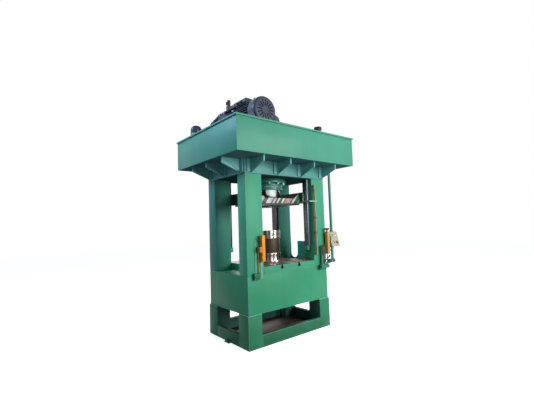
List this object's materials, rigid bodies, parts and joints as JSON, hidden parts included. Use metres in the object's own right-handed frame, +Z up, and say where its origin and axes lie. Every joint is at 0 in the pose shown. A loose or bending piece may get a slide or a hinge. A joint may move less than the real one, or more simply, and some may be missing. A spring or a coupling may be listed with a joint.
{
  "type": "hydraulic press",
  "caption": "Frame hydraulic press with an oil tank over the crown; its ram drives a guided slide down between the columns onto tooling on a slotted bed.",
  "frame": {"origin": "on the floor, under the centre of the press", "axes": "+Z up; the front of the press faces -Y; +X to the operator's right"},
  "size_m": [2.172, 1.652, 3.405],
  "materials": {
    "frame_paint": "satin sea-green machine enamel",
    "floor_brown": "dark brown, oily and worn",
    "bolster_steel": "oiled machined plate",
    "slide_paint": "dark satin",
    "ram_chrome": "hard chrome, ground",
    "guide_steel": "ground steel with grease",
    "bolt_steel": "plated",
    "shoe_bronze": "bearing bronze",
    "tool_steel": "turned",
    "tool_dark": "oiled dark casting",
    "curtain_yellow": "satin safety orange-yellow",
    "rail_beige": "satin",
    "black_plastic": "matt",
    "box_beige": "satin light beige",
    "motor_paint": "dark blue-grey enamel",
    "fan_plastic": "matt",
    "filter_metal": "satin dark grey",
    "button_green": "gloss",
    "button_white": "gloss",
    "button_red": "gloss"
  },
  "bodies": {
    "frame": {"base_legs": "frame_paint", "base_rails": "frame_paint", "bed_box": "frame_paint", "bell_housing": "motor_paint", "bolster": "bolster_steel", "breather_filter": "filter_metal", "column_back_left": "frame_paint", "column_back_right": "frame_paint", "column_front_left": "frame_paint", "column_front_right": "frame_paint", "crown": "frame_paint", "curtain_brackets": "guide_steel", "curtain_conduit": "frame_paint", "cylinder_barrel": "frame_paint", "cylinder_bolts": "bolt_steel", "cylinder_cap": "frame_paint", "cylinder_gland": "frame_paint", "fan_cowl": "motor_paint", "filler_cap": "black_plastic", "floor_plate": "floor_brown", "guide_rails": "guide_steel", "gussets_back": "frame_paint", "gussets_front": "frame_paint", "gussets_left": "frame_paint", "gussets_right": "frame_paint", "light_curtains": "curtain_yellow", "limit_switches": "black_plastic", "lube_pump": "black_plastic", "lube_shelf": "frame_paint", "motor_body": "motor_paint", "oil_tank": "frame_paint", "pendant_box": "box_beige", "pendant_pipe": "frame_paint", "pump": "motor_paint", "rail_feet": "frame_paint", "return_pipe": "motor_paint", "side_guard": "frame_paint", "stroke_rail": "rail_beige", "stroke_rod": "guide_steel", "tank_lid": "frame_paint", "terminal_box": "motor_paint", "tool_body": "tool_dark", "tool_lower_ring": "tool_steel", "tool_upper_ring": "tool_steel", "valve_block": "motor_paint", "valve_coils": "black_plastic"},
    "slide": {"ram": "ram_chrome", "ram_flange": "slide_paint", "slide_frame": "slide_paint", "guide_shoes": "shoe_bronze", "upper_platen": "slide_paint", "upper_punch": "guide_steel", "striker_arm": "guide_steel"},
    "rotor": {"motor_shaft": "guide_steel", "motor_fan": "fan_plastic"},
    "lube_handle": {"lube_lever": "black_plastic"},
    "start_key": {"start_button": "button_green"},
    "return_key": {"return_button": "button_white"},
    "stop_key": {"stop_button": "button_red"},
    "selector_key": {"mode_selector": "black_plastic"}
  },
  "joints": [
    {"name": "slide_stroke", "type": "slide", "parent": "frame", "child": "slide", "axis": [0, 0, 1], "range_m": [-0.335, 0]},
    {"name": "motor_spin", "type": "hinge", "parent": "frame", "child": "rotor", "pos_m": [-0.48, 0, 3.043], "axis": [0, 1, 0], "continuous": true},
    {"name": "lube_stroke", "type": "hinge", "parent": "frame", "child": "lube_handle", "pos_m": [0.624, -0.543, 0.96], "axis": [0, 1, 0], "range_deg": [-8, 53]},
    {"name": "start_press", "type": "slide", "parent": "frame", "child": "start_key", "axis": [0, 0.9654, -0.2609], "range_m": [0, 0.004], "stiffness_N_per_m": 400},
    {"name": "return_press", "type": "slide", "parent": "frame", "child": "return_key", "axis": [0, 0.9654, -0.2609], "range_m": [0, 0.004], "stiffness_N_per_m": 400},
    {"name": "stop_press", "type": "slide", "parent": "frame", "child": "stop_key", "axis": [0, 0.9654, -0.2609], "range_m": [0, 0.004]},
    {"name": "mode_turn", "type": "hinge", "parent": "frame", "child": "selector_key", "pos_m": [0.85, -0.54435, 1.23091], "axis": [0, -0.9654, 0.2609], "range_deg": [-45, 45]}
  ]
}
